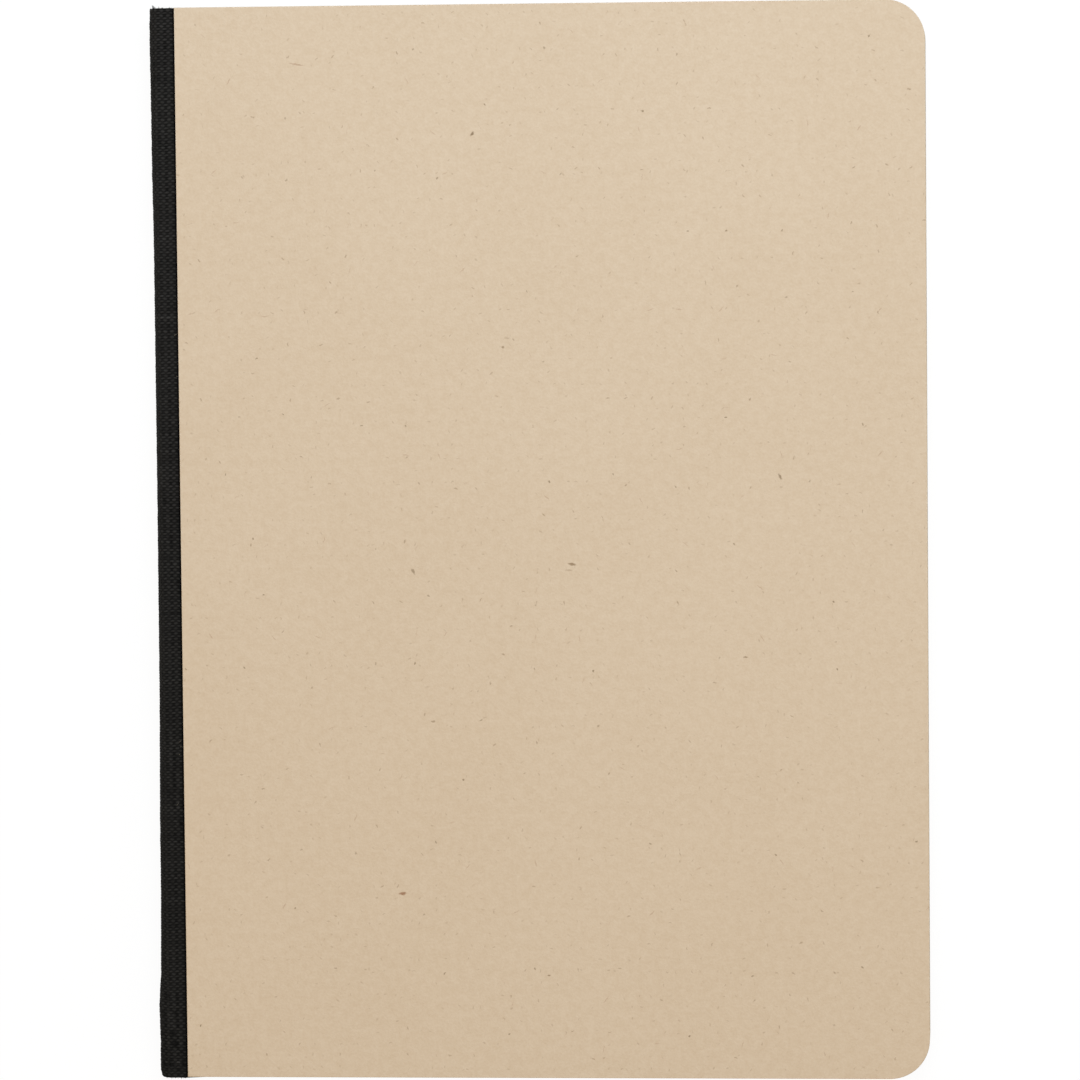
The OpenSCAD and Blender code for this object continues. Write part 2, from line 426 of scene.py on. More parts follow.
def makeKraftBoard(name, settings, shift, marks):
    # From shade to glint by the pulp's tone, evened out by the face colour, then flecks and marks over it,
    # and the layers of the cut edge wherever the surface stands upright.
    material, tree = newMaterial(name)
    place = objectPlace(tree, shift)
    pulp = {key: unevenness(tree, place, **noise) for key, noise in settings["pulp"].items()}
    parts = [(pulp[key], share) for key, share in settings["toneShares"].items()]
    tone = weightedSum(tree, settings["toneBase"], parts)
    face = linear(settings["face"])
    coats = [(tone, linear(settings["glint"])), (settings["evenShare"], face)]
    ragged = raggedPlace(tree, place, settings["raggedMm"])
    for layer in settings["fleckLayers"]:
        coats.append((fleckLayer(tree, ragged, layer, settings), linear(settings[layer["colour"]])))
    for mark in marks:
        coats.append((markMask(tree, ragged, mark, settings), linear(settings[mark["colour"]])))
    stretch = {0: place, 1: settings["edgeStretch"]}
    layered = addNode(tree, "ShaderNodeVectorMath", stretch, operation="MULTIPLY").outputs[0]
    streak = unevenness(tree, layered, **settings["edgeLayers"])
    edge = layCoats(tree, linear(settings["edge"]), [(streak, face)])
    facing = addNode(tree, "ShaderNodeTexCoord").outputs["Normal"]
    upright = addNode(tree, "ShaderNodeSeparateXYZ", {0: facing}).outputs["Z"]
    level = addNode(tree, "ShaderNodeMath", {0: upright}, operation="ABSOLUTE").outputs[0]
    begins, full = settings["edgeFacing"]
    onEdge = addNode(tree, "ShaderNodeMapRange", {"Value": level, "From Min": begins, "From Max": full})
    coats.append((onEdge.outputs[0], edge))
    colour = layCoats(tree, linear(settings["shade"]), coats)
    height = addNode(tree, "ShaderNodeMath", {0: pulp["mottle"], 1: pulp["grain"]}, operation="ADD")
    finishMaterial(tree, colour, height.outputs[0], settings)
    return material


# Boards: die-cut, which leaves the outer edge a little round

board = {"edgeRound": 0.14, "roundSteps": 4, "cornerSteps": 14, "straightSteps": 24}


def ringOutline(cornerRadius, straightSteps, cornerSteps):
    # Walks round the book seen from above: tail edge, corner, fore edge, corner, head edge. Each point has
    # a place, the direction that an inset takes away, and its share of the way from corner to spine side.
    share = np.linspace(0, 1, straightSteps + 1)
    turn = np.linspace(-np.pi / 2, 0, cornerSteps + 1)
    corner = np.array([foreX - cornerRadius, -halfHeight + cornerRadius])
    arc = np.stack([np.cos(turn), np.sin(turn)], axis=1)
    tail = np.stack([np.full_like(share, corner[0]), np.full_like(share, -halfHeight)], axis=1)[:-1]
    fore = np.stack([np.full_like(share, foreX), (share * 2 - 1) * -corner[1]], axis=1)[1:-1]
    half = np.concatenate([tail, corner + arc * cornerRadius])
    outward = np.concatenate([np.tile([0.0, -1.0], (len(tail), 1)), arc])
    spine = np.concatenate([1 - share[:-1], np.zeros(len(arc))])
    place = np.concatenate([half, fore, (half * [1, -1])[::-1]])
    outward = np.concatenate([outward, np.tile([1.0, 0.0], (len(fore), 1)), (outward * [1, -1])[::-1]])
    spine = np.concatenate([spine, np.zeros(len(fore)), spine[::-1]])
    return place, outward, spine


def ringRow(ring, leftX, inset, z):  # the outline drawn in by the inset and stretched to leftX, at height z
    place, outward, spine = ring
    points = place - outward * inset
    points[:, 0] += spine * (leftX - points[:, 0])
    return np.column_stack([points, np.full(len(points), z)])


def makeBoard(name, side, settings):
    # Rows of the outline from the cloth's height up, the last ones rounding the outer edge over a quarter
    # circle: inset = r (1 - cos a), height = top - r (1 - sin a). The part past the cloth reaches down to
    # the board's inner face, and the part over the cloth ends at the ceiling of the pocket that holds it.
    # The step is the outline's point nearest to the cloth's end, and the pocket's wall stands there.
    ring = ringOutline(book["cornerRadius"], settings["straightSteps"], settings["cornerSteps"])
    r = settings["edgeRound"]
    angles = np.linspace(0, np.pi / 2, settings["roundSteps"] + 1)
    rows = [ringRow(ring, boardX, 0, clothOuter)]
    for a in angles:
        inset = r * (1 - math.cos(a))
        rows.append(ringRow(ring, boardX + inset, inset, boardOuter - r * (1 - math.sin(a))))
    count = len(rows[0])
    step = int(np.argmin(np.abs(rows[0][: count // 2, 0] - clothEndX)))
    for row in rows:
        row[[step, count - 1 - step], 0] = clothEndX
    inner = rows[0][step : count - step].copy()
    inner[:, 2] = boardInner
    points = np.concatenate([*rows, inner])
    faces = gridFaces(len(rows), count, closed=True)
    base = len(rows) * count
    last = base + len(inner) - 1
    low = base + np.arange(len(inner) - 1)
    high = low - base + step
    faces += np.stack([low, low + 1, high + 1, high], axis=1).tolist()
    flats = [
        [last, base, step, count - 1 - step],  # the pocket's wall
        [*range(step + 1), *range(count - 1 - step, count)][::-1],  # its ceiling
        list(range(base, last + 1))[::-1],  # the inner face
        list(range(base - count, base)),  # the outer face
    ]
    smooth = [True] * len(faces) + [False] * len(flats)
    points, faces = mirrored(points, faces + flats, side)
    return meshObject(name, points, faces, smooth)


backShift = (311, -173, 0)  # moves the board's patterns, in mm, so that the back isn't the front again
for name, side, node, body, finish, shift, marks in (
    ("frontBoard", 1, "front_board", "front_cover", "kraftBoardFront", (0, 0, 0), kraftBoard["marks"]),
    ("backBoard", -1, "back_board", "back_cover", "kraftBoardBack", backShift, []),
):
    piece = makeBoard(name, side, board)
    piece.data.materials.append(makeKraftBoard(finish, kraftBoard, shift, marks))
    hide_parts(node)
    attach(piece, body)
print("boards made")


# Spine cloth: black cotton book cloth in plain weave, filled at the back with starch. The thick weft
# bulges over the thin warp, so it shows as short dull ovals that lie across the spine, in brick order.

spineCloth = {
    "warpPitch": 0.65,
    "weftPitch": 0.53,
    "weave": {
        "weftHalf": 0.5,  # half widths of the threads, in pitches
        "warpHalf": 0.45,
        "weftRound": 0.45,  # what its round section and its ride over the other thread add to its height
        "weftRide": 0.55,
        "warpRound": 0.30,
        "warpRide": 0.30,
        "litHalf": 0.5,  # half width over which a thread is lit
        "litPower": 0.45,  # the smaller it is, the longer a float of weft stays bright
        "warpLit": 0.35,
        "warpFirst": 4000,  # the number of the first warp thread, past those of all weft threads
    },
    "relief": 0.13,  # from the crown of a weft float down to the gaps
    "highest": 1.15,  # share of the relief at which the crowns are cut off flat
    "stepsAcross": 4,  # points to a thread
    "stepsAlong": 4,
    "fineBeyond": 0.4,  # how far under the board the threads are still drawn one by one
    "fineFade": 0.3,  # over the last of which the relief dies away
    "plainColumns": 4,
    "innerRows": 36,
    "innerColumns": 28,
    "pressed": 0.15,  # the board's raw edge presses the cloth in
    # the same width is painted black as shade under the board's edge
    "pressedWidth": (0.22, 0.55),  # fully to here on both sides of it, and not at all from there
    "headTrim": 0.1,  # the strip is cut this much short of the boards at the head
    "tailOver": 0.26,  # and stands out past them at the tail, where the blade pushed it
    "tailCut": {"by": 0.20, "from": 0.8, "to": 3.2},  # near mid-back it is cut back by this much
    "tailHidden": 0.05,  # under the board it ends this far inside the tail edge
    "bareEnd": (-0.15, 0.25),  # where the strip passes under the board, from the board's edge
    "slope": 0.03,  # threads by which the weft climbs for each mm that it goes round the back
    "drift": 0.05,  # mm by which its wandering moves on from each thread to the next
    # random waves: height, seed, shortest and longest length. Lengths are in mm, but in threads for the
    # first one, and the wandering's heights are in threads too.
    "wanderAlong": (0.30, 24, 16, 90),
    "wanderAcross": (0.10, 23, 4, 14),
    "tailWave": (0.04, 11, 0.8, 4),
    "headWave": (0.04, 12, 0.8, 4),
    "bulgeWave": (0.02, 5, 2.5, 9),
    "patchAcross": (1, 41, 1.6, 6),
    "patchAlong": (1, 42, 2.0, 12),
    "patchTurn": (1.3, 0.2),  # the first of these two waves goes by 1.3 s + 0.2 y
    # how far the back stands out at places from tail to head, fading out about the start of the shoulder
    "bulge": [
        (-105, 0.40), (-104, 0.65), (-98, 0.60), (-91, 0.75), (-85, 0.35), (-68, 0.15), (-55, 0.15),
        (-30, -0.10), (10, -0.18), (60, -0.15), (72, 0.00), (88, 0.05), (98, 0.15), (105, 0.05),
    ],
    "bulgeFade": (-1.6, 0.5),
    # each thread has a random tone of its own, out of a row of this many that starts before thread 0
    "tones": {"seed": 31, "count": 9000, "before": 2000},
    "toneSpread": 0.14,
    "patchSpread": 0.24,
    "heightSpread": 0.06,
    "toneLimit": 2,
    "plainLit": 0.5,  # how brightly the inner face and the loose ends are lit, where no weave is drawn
    # painted light from the head side: the head end is painted paler and the tail end darker
    "paintedHeadLight": 0.14,  # the head end is this share paler than the middle, and the tail end darker
    # one weft thread that is spun thicker and paler
    "slub": {"at": 44.5, "from": 1.5, "to": 8.0, "taper": 1, "thicker": 0.15, "paler": 0.7},
    # cut warp ends, which stand out by the shortest length and a part of the longer one
    "fray": {
        "perEnd": 26, "margin": 0.1, "shortest": 0.05, "longer": 0.3, "slant": 0.25, "radius": 0.05,
        "rootDepth": 0.12, "rootIn": 0.15, "tipDepth": 0.1, "tipLift": 0.5, "bend": 0.06, "seed": 61,
    },
    # a loose tuft at the head, its fibres shorter to one side
    "tuft": {
        "at": 3.8, "width": 1.0, "length": 0.8, "fibres": 12, "lean": -0.2, "shorter": 0.7, "uneven": 0.25,
    },
    # specks of lint and pulp, in mm: how far round from mid-back, y, length and slant
    "lint": [(7.9, 41.3, 0.7, 0.15), (8.1, 33.1, 0.5, -0.1), (7.8, -38.6, 0.6, 0.2), (8.0, -39.7, 0.5, 0.0),
             (7.1, -51.0, 0.35, 0.25), (7.6, -41.2, 0.4, 0.1)],
    "lintRise": (0.02, 0.05),
    "lintRadius": 0.035,
    "thread": "#2F2E2C",
    # painted light: the crown colour is a painted highlight on the threads' crowns, and the gap colour is
    # painted shade between the threads and in the groove by the board's edge
    "paintedCrownLight": "#3F3E3C",
    "gap": "#050505",
    "pale": "#8D8678",
    "yarnStretch": (2.2, 12, 1),  # yarn fibres lie along the weft, about twelve to a thread's width
    "yarn": {"size": 1.0, "roughness": 0.6, "spread": 0.2},
    "fuzz": {"size": 0.28, "roughness": 0.6, "spread": 0.2},
    "worn": {"size": 5.0},
    "yarnShare": 0.12,
    "wornShare": 0.08,
    "crownFrom": (1.0, 1.9),  # brightness above which a thread turns to the crown colour
    "bump": {"Strength": 0.6, "Distance": 0.04 * mm},
    "shine": {"Roughness": 0.8, "Specular IOR Level": 0.01, "Sheen Weight": 0.02, "Sheen Roughness": 0.3},
}

backArc = backRadius * shoulderTurn
shoulderArc = shoulderRadius * (math.pi / 2 - shoulderTurn)
clothReach = backArc + shoulderArc + clothEndX - shoulderX
boardEdgeAt = backArc + shoulderArc + boardX - shoulderX
fineEnd = boardEdgeAt + spineCloth["fineBeyond"]


def clothProfile(s):
    # The cloth's outer face at the length s from mid-back: a wide arc about the back's centre, a tight arc
    # over the shoulder, then flat to the end. Gives x, z and the outward direction.
    onBack = np.clip(s, 0, backArc) / backRadius
    onShoulder = np.clip(s - backArc, 0, shoulderArc) / shoulderRadius
    flat = np.clip(s - backArc - shoulderArc, 0, None)
    angle = np.pi - onBack - onShoulder
    nx, nz = np.cos(angle), np.sin(angle)
    past = s > backArc
    x = np.where(past, shoulderX + flat + shoulderRadius * nx, backCentreX + backRadius * nx)
    z = np.where(past, outerFoldZ + shoulderRadius * nz, backRadius * nz)
    return x, z, nx, nz


def clothPoints(s, y, out):  # places that stand out from the profile by so much: profile + out x direction
    x, z, nx, nz = clothProfile(s)
    return np.stack([x + nx * out, y, z + nz * out], axis=-1)


def bulgeAt(s, y, settings, ripple=0.0):
    # How far the back stands out: the bulge between its two nearest listed places and the ripple, times one
    # less a smooth step over the start of the shoulder
    places, amounts = np.array(settings["bulge"]).T
    start, end = settings["bulgeFade"]
    return (np.interp(y, places, amounts) + ripple) * (1 - smoothStep(s, backArc + start, backArc + end))


def threadCrown(offset, halfWidth):  # a thread's height at d half widths from its middle: root of 1 - d^2
    return np.sqrt(np.clip(1 - (offset / halfWidth) ** 2, 0, 1))


def weave(across, along, settings):
    # Plain weave. The weft number j runs across and rides over the warp number i where i + j is even, so
    # its height follows the cosine of pi (across + j); the warp lies lower and rides the other way. The
    # upper thread shows. Gives the height, how brightly the place is lit, and the number of the thread.
    warp, weft = np.round(across), np.round(along)
    over = 0.5 + 0.5 * np.cos(np.pi * (across + weft))
    under = 0.5 - 0.5 * np.cos(np.pi * (along + warp))
    weftTop = settings["weftRound"] * threadCrown(along - weft, settings["weftHalf"])
    weftTop = weftTop + settings["weftRide"] * over
    warpTop = settings["warpRound"] * threadCrown(across - warp, settings["warpHalf"])
    warpTop = warpTop + settings["warpRide"] * under
    # painted light: a thread is painted bright on its crown and shaded towards its edges and the gaps
    weftLit = threadCrown(along - weft, settings["litHalf"]) * over ** settings["litPower"]
    warpLit = settings["warpLit"] * threadCrown(across - warp, settings["litHalf"])
    shown = weftTop >= warpTop
    number = np.where(shown, weft, warp + settings["warpFirst"]).astype(int)
    return np.maximum(weftTop, warpTop), np.where(shown, weftLit, warpLit), number


def clothGrid(side, settings):
    # Columns go by s along the profile and rows by y along the spine. A few rows go with each weft thread
    # and wander as it does: y = low end + share (high end - low end), where the share says how far the
    # wandering thread lies from the first row to the last. Both ends of the strip are a little uneven.
    fine = np.arange(0, fineEnd, settings["warpPitch"] / settings["stepsAcross"])
    s = np.concatenate([fine, np.linspace(fineEnd, clothReach, settings["plainColumns"])])
    headY = halfHeight - settings["headTrim"]
    rows = round((headY + halfHeight) / settings["weftPitch"] * settings["stepsAlong"])
    along = np.broadcast_to(np.arange(rows)[:, None] / settings["stepsAlong"], (rows, len(s)))
    sGrid = np.broadcast_to(s, along.shape)
    wander = wave(along, *settings["wanderAlong"])
    wander = wander + wave(side * sGrid + along * settings["drift"], *settings["wanderAcross"])
    threadY = (along + wander + settings["slope"] * side * sGrid) * settings["weftPitch"]
    bareFrom, bareTo = settings["bareEnd"]
    bare = 1 - smoothStep(s, boardEdgeAt + bareFrom, boardEdgeAt + bareTo)
    cut = settings["tailCut"]
    low = wave(s, *settings["tailWave"]) + cut["by"] * (1 - smoothStep(s, cut["from"], cut["to"]))
    low = -halfHeight + (low - settings["tailOver"]) * bare + settings["tailHidden"] * (1 - bare)
    high = headY + wave(s, *settings["headWave"])
    y = low + (threadY - threadY[0]) / (threadY[-1] - threadY[0]) * (high - low)
    return s, sGrid, along, y, low, high


def threadLook(side, s, y, along, settings):
    # The weave, with each thread's own tone, patches that are the product of two waves, and the slub, which
    # tapers at both ends. Height and tone grow with all three, and the tone grows towards the head as well,
    # as painted light from the head side.
    across = side * s / settings["warpPitch"]
    height, lit, number = weave(across, along, settings["weave"])
    tones = settings["tones"]
    drawn = np.random.default_rng(tones["seed"]).normal(0, 1, tones["count"])
    own = drawn[(number + tones["before"]) % tones["count"]]
    turnS, turnY = settings["patchTurn"]
    patch = wave(side * s * turnS + y * turnY, *settings["patchAcross"]) * wave(y, *settings["patchAlong"])
    slub = settings["slub"]
    thread = round((slub["at"] + halfHeight) / settings["weftPitch"])
    starts = smoothStep(s, slub["from"], slub["from"] + slub["taper"])
    ends = 1 - smoothStep(s, slub["to"] - slub["taper"], slub["to"])
    onSlub = (np.abs(along - thread) <= 0.5) * (side == 1) * starts * ends
    height = height * (1 + settings["heightSpread"] * (own + patch)) + slub["thicker"] * onSlub
    tone = 1 + settings["toneSpread"] * own + settings["patchSpread"] * patch + slub["paler"] * onSlub
    # painted light: paler towards the head, darker towards the tail
    tone = tone + settings["paintedHeadLight"] * y / halfHeight
    return across, height, lit, tone


def sheetFaces(outerShape, innerShape):
    # The outer face, the inner face turned over, and the four cut sides. Each side is one long face that
    # goes along the outer edge and back along the inner one.
    base = outerShape[0] * outerShape[1]
    outer = np.arange(base).reshape(outerShape)
    inner = base + np.arange(innerShape[0] * innerShape[1]).reshape(innerShape)
    faces = gridFaces(*outerShape)
    faces += [face[::-1] for face in gridFaces(*innerShape, base)]
    sides = (
        (outer[:, 0], inner[::-1, 0]),
        (inner[:, -1], outer[::-1, -1]),
        (outer[-1], inner[-1, ::-1]),
        (inner[0], outer[0, ::-1]),
    )
    smooth = [True] * len(faces) + [False] * len(sides)
    return faces + [np.concatenate(pair).tolist() for pair in sides], smooth


def strands(roots, tips, bend, radius, rings=5, sides=5, taper=0.75):
    # Tapering tubes along parabolas: point = root + t (tip - root) + 4 t (1 - t) bend, round which lies a
    # circle whose radius falls with t
    t = np.linspace(0, 1, rings)[None, :, None]
    line = roots[:, None] + t * (tips - roots)[:, None] + 4 * t * (1 - t) * bend[:, None]
    away = tips - roots
    away = away / np.linalg.norm(away, axis=1, keepdims=True)
    across = np.cross(away, [0.0, 0.0, 1.0])
    across = across / np.linalg.norm(across, axis=1, keepdims=True)
    up = np.cross(across, away)
    a = np.linspace(0, 2 * np.pi, sides, endpoint=False)[None, None, :, None]
    thick = (radius[:, None] * (1 - taper * t[..., 0]))[:, :, None, None]
    points = line[:, :, None] + thick * (np.cos(a) * across[:, None, None] - np.sin(a) * up[:, None, None])
    faces = []
    for k in range(len(roots)):
        first = k * rings * sides
        faces += gridFaces(rings, sides, first, closed=True)
        faces.append([first + i for i in range(sides)][::-1])
        faces.append([first + (rings - 1) * sides + i for i in range(sides)])
    return points.reshape(-1, 3), faces


def looseEnds(side, settings, low, high, s):
    # Cut warp ends stand out of both ends of the strip, from a root inside the cloth to a tip past its cut
    # edge: length = shortest + longer r^2 for a random r. On the front half, the first of them make the
    # tuft at the head, and lint lies by the board's edge. Also says how many of the points are warp ends.
    draw = np.random.default_rng(settings["fray"]["seed"] + side)
    fray, tuft = settings["fray"], settings["tuft"]
    roots, tips = [], []
    for ends, sign in ((low, -1), (high, 1)):
        at = np.sort(draw.random(fray["perEnd"])) * (boardEdgeAt - fray["margin"]) + fray["margin"]
        length = fray["shortest"] + fray["longer"] * draw.random(fray["perEnd"]) ** 2
        slant = draw.normal(0, fray["slant"], (fray["perEnd"], 2)) * length[:, None]
        if side == 1 and sign == 1:
            held = slice(tuft["fibres"])
            share = np.linspace(0, 1, tuft["fibres"])
            uneven = 1 - tuft["uneven"] + tuft["uneven"] * draw.random(tuft["fibres"])
            at[held] = tuft["at"] + tuft["width"] * share
            length[held] = tuft["length"] * (1 - tuft["shorter"] * share) * uneven
            slant[held, 0] = tuft["lean"] * draw.random(tuft["fibres"])
        y = np.interp(at, s, ends)
        roots.append(clothPoints(at, y - sign * fray["rootIn"], -fray["rootDepth"]))
        x, z, _, nz = clothProfile(at)
        lifted = z - fray["tipDepth"] * nz + slant[:, 1] * fray["tipLift"]
        tips.append(np.stack([x + slant[:, 0], y + sign * length, lifted], axis=1))
    warpEnds = 2 * fray["perEnd"]
    radius = np.full(warpEnds, fray["radius"])
    if side == 1:
        at, y, length, slant = np.array(settings["lint"]).T
        x, z, _, _ = clothProfile(at)
        rootRise, tipRise = settings["lintRise"]
        roots.append(np.stack([x - length / 2, y - slant, z + rootRise], axis=1))
        tips.append(np.stack([x + length / 2, y + slant, z + tipRise], axis=1))
        radius = np.concatenate([radius, np.full(len(at), settings["lintRadius"])])
    roots, tips = np.concatenate(roots), np.concatenate(tips)
    bend = draw.normal(0, fray["bend"], roots.shape) * np.linalg.norm(tips - roots, axis=1, keepdims=True)
    points, faces = strands(roots, tips, bend, radius)
    return points, faces, len(points) * warpEnds // len(roots)


def writeThreadData(made, values, limit, uv):
    # What the material reads: values at the points, from 0 to the limit, and a UV map counted in threads
    for key, value in values.items():
        attribute = made.data.attributes.new(key, "FLOAT", "POINT")
        attribute.data.foreach_set("value", np.clip(value, 0, limit).astype(np.float32))
    corners = np.zeros(len(made.data.loops), np.int32)
    made.data.loops.foreach_get("vertex_index", corners)
    layer = made.data.uv_layers.new(name="threads")
    layer.data.foreach_set("uv", uv[corners].astype(np.float32).ravel())


def makeClothHalf(name, side, settings):
    # The outer face stands out from the profile by the bulge, less the depth of the weave and of the groove
    # that the board's edge presses. The inner face is a coarser grid, one thickness further in.
    s, sGrid, along, y, low, high = clothGrid(side, settings)
    across, height, lit, tone = threadLook(side, sGrid, y, along, settings)
    # the groove is pressed into the shape and also painted black as shade
    groove = 1 - smoothStep(np.abs(sGrid - boardEdgeAt), *settings["pressedWidth"])
    fade = 1 - smoothStep(sGrid, fineEnd - settings["fineFade"], fineEnd)
    depth = settings["relief"] * (1 - np.clip(height, 0, settings["highest"])) * fade
    depth = depth + settings["pressed"] * groove
    ripple = wave(y, *settings["bulgeWave"])
    outer = clothPoints(sGrid, y, bulgeAt(sGrid, y, settings, ripple) - depth)

    inS = np.linspace(0, clothReach, settings["innerColumns"])
    inLow, inHigh = np.interp(inS, s, low), np.interp(inS, s, high)
    inY = inLow + np.linspace(0, 1, settings["innerRows"])[:, None] * (inHigh - inLow)
    inS = np.broadcast_to(inS, inY.shape)
    lift = np.clip(bulgeAt(inS, inY, settings), 0, None)
    inner = clothPoints(inS, inY, lift - book["clothThickness"])

    faces, smooth = sheetFaces(y.shape, inY.shape)
    loosePoints, looseFaces, warpEndPoints = looseEnds(side, settings, low, high, s)
    sheetPoints = y.size + inY.size
    faces += [[sheetPoints + i for i in face] for face in looseFaces]
    smooth += [True] * len(looseFaces)
    points = np.concatenate([outer.reshape(-1, 3), inner.reshape(-1, 3), loosePoints])
    made = meshObject(name, *mirrored(points, faces, side), smooth)

    blank = np.zeros(inY.size + len(loosePoints))
    paleLint = np.zeros(len(points))
    paleLint[sheetPoints + warpEndPoints :] = 1
    values = {
        # the weave's painted light and shade
        "paintedCrownLight": np.concatenate([lit.ravel(), blank + settings["plainLit"]]),
        "tone": np.concatenate([tone.ravel(), blank + 1]),
        # painted shade in the groove under the board's raw edge
        "paintedEdgeShade": np.concatenate([groove.ravel(), blank]),
        "paleLint": paleLint,
    }
    inAcross, inAlong = side * inS / settings["warpPitch"], inY / settings["weftPitch"]
    uv = np.concatenate([
        np.stack([across.ravel(), along.ravel()], axis=1),
        np.stack([inAcross.ravel(), inAlong.ravel()], axis=1),
        loosePoints[:, :2] / settings["weftPitch"],
    ])
    writeThreadData(made, values, settings["toneLimit"], uv)
    return made


def makeBookCloth(name, settings):
    # Brightness = the weave's painted light, bright on the crowns and shaded in the gaps, x tone + shares of
    # the yarn's fibres and of the wear. It leads from the gaps' painted shade, near black, to the thread's
    # colour, and past 1 on to the crowns' painted highlight. The groove by the board's edge is painted black
    # again as shade, and the lint is pale.
    material, tree = newMaterial(name)
    paintedCrownLight, tone, paintedEdgeShade, paleLint = [
        addNode(tree, "ShaderNodeAttribute", attribute_name=key).outputs["Fac"]
        for key in ("paintedCrownLight", "tone", "paintedEdgeShade", "paleLint")
    ]
    threads = addNode(tree, "ShaderNodeUVMap", uv_map="threads").outputs[0]
    place = objectPlace(tree)
    stretch = {0: threads, 1: settings["yarnStretch"]}
    drawnOut = addNode(tree, "ShaderNodeVectorMath", stretch, operation="MULTIPLY")
    yarn = unevenness(tree, drawnOut.outputs[0], **settings["yarn"])
    fuzz = unevenness(tree, place, **settings["fuzz"])
    worn = unevenness(tree, place, **settings["worn"])
    lit = addNode(tree, "ShaderNodeMath", {0: paintedCrownLight, 1: tone}, operation="MULTIPLY").outputs[0]
    lit = weightedSum(tree, lit, [(yarn, settings["yarnShare"]), (worn, settings["wornShare"])])
    begins, full = settings["crownFrom"]
    top = addNode(tree, "ShaderNodeMapRange", {"Value": lit, "From Min": begins, "From Max": full})
    thread, bright, gap, pale = [linear(settings[key]) for key in ("thread", "paintedCrownLight", "gap", "pale")]
    colour = layCoats(tree, gap, [(lit, thread), (top.outputs[0], bright), (paintedEdgeShade, gap), (paleLint, pale)])
    height = addNode(tree, "ShaderNodeMath", {0: yarn, 1: fuzz}, operation="ADD").outputs[0]
    finishMaterial(tree, colour, height, settings)
    return material


bookCloth = makeBookCloth("cottonBookCloth", spineCloth)
for name, side, cover in (("spineClothFront", 1, "front_cover"), ("spineClothBack", -1, "back_cover")):
    piece = makeClothHalf(name, side, spineCloth)
    piece.data.materials.append(bookCloth)
    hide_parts("spine_cloth")
    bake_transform(piece)
print("spine cloth made")


# Endpapers: cream uncoated paper, slightly toothy and matt, each one sheet folded at the spine

endpaper = {
    "outerTurn": 0.2,  # radius of the fold's outer face
    "foldSteps": 10,
    "straightSteps": 20,
    "cornerRows": 12,
    "straightRows": 20,
    "paper": "#ECE5D6",
    "fibre": "#DDD4C1",
    "cloud": {"size": 1.2, "detail": 3.0, "roughness": 0.6},
    "tooth": {"size": 0.35},
    "fibreShare": 0.5,
    "toothHeight": 0.15,  # as a share of the ridge
    "ridgeWidth": (-0.3, 0.3),  # the end of the cloth shows through the pastedown as a faint ridge
    "bump": {"Strength": 0.5, "Distance": 0.05 * mm},
    "shine": {"Roughness": 0.9, "Specular IOR Level": 0.2},
}


def makeEndpaper(name, side, settings):
    # Each row along the height is a loop: fly leaf, fold, pastedown, and back along the sheet's inner face.
    # The fold is a half circle. Its straight parts run on to the fore edge: x = fold + share (edge - fold),
    # where the edge follows the rounded corners.
    r = book["cornerRadius"]
    turn = np.linspace(0, np.pi / 2, settings["cornerRows"] + 1)
    upper = halfHeight - r + r * np.sin(turn)
    reach = foreX - r + r * np.cos(turn)
    middle = np.linspace(-1, 1, settings["straightRows"])[1:-1] * (halfHeight - r)
    y = np.concatenate([-upper[::-1], middle, upper])[:, None]
    edgeX = np.concatenate([reach[::-1], np.full(len(middle), foreX), reach])[:, None]
    share = np.linspace(0, 1, settings["straightSteps"] + 1)
    bend = np.linspace(-np.pi / 2, -3 * np.pi / 2, settings["foldSteps"] + 1)
    straight = np.concatenate([share[:0:-1], np.zeros(len(bend)), share[1:]])
    level = np.zeros(settings["straightSteps"])
    outerTurn = settings["outerTurn"]
    loops = []
    for radius in (outerTurn, outerTurn - book["endpaperThickness"]):
        foldX = np.concatenate([level, radius * np.cos(bend), level])
        foldZ = np.concatenate([level - radius, radius * np.sin(bend), level + radius])
        x = shoulderX + foldX + straight * (edgeX - shoulderX)
        loops.append(np.stack(np.broadcast_arrays(x, y, halfBlock + outerTurn + foldZ), axis=-1))
    outer, inner = loops
    ring = np.concatenate([outer, inner[:, ::-1]], axis=1)
    rows, columns = ring.shape[:2]
    faces = gridFaces(rows, columns, closed=True)
    foldStart, foldEnd = settings["straightSteps"], settings["straightSteps"] + settings["foldSteps"]
    column = np.tile(np.arange(columns), rows - 1)
    column = np.minimum(column, columns - 2 - column)
    smooth = ((column >= foldStart) & (column < foldEnd)).tolist()
    for row, step in ((0, -1), (rows - 1, 1)):
        near = row * columns + np.arange(outer.shape[1] - 1)
        far = row * columns + columns - 1 - np.arange(outer.shape[1] - 1)
        quads = np.stack([near, near + 1, far - 1, far], axis=1)
        faces += quads[:, ::step].tolist()
        smooth += [False] * len(quads)
    points, faces = mirrored(ring.reshape(-1, 3), faces, side)
    return meshObject(name, points, faces, smooth)


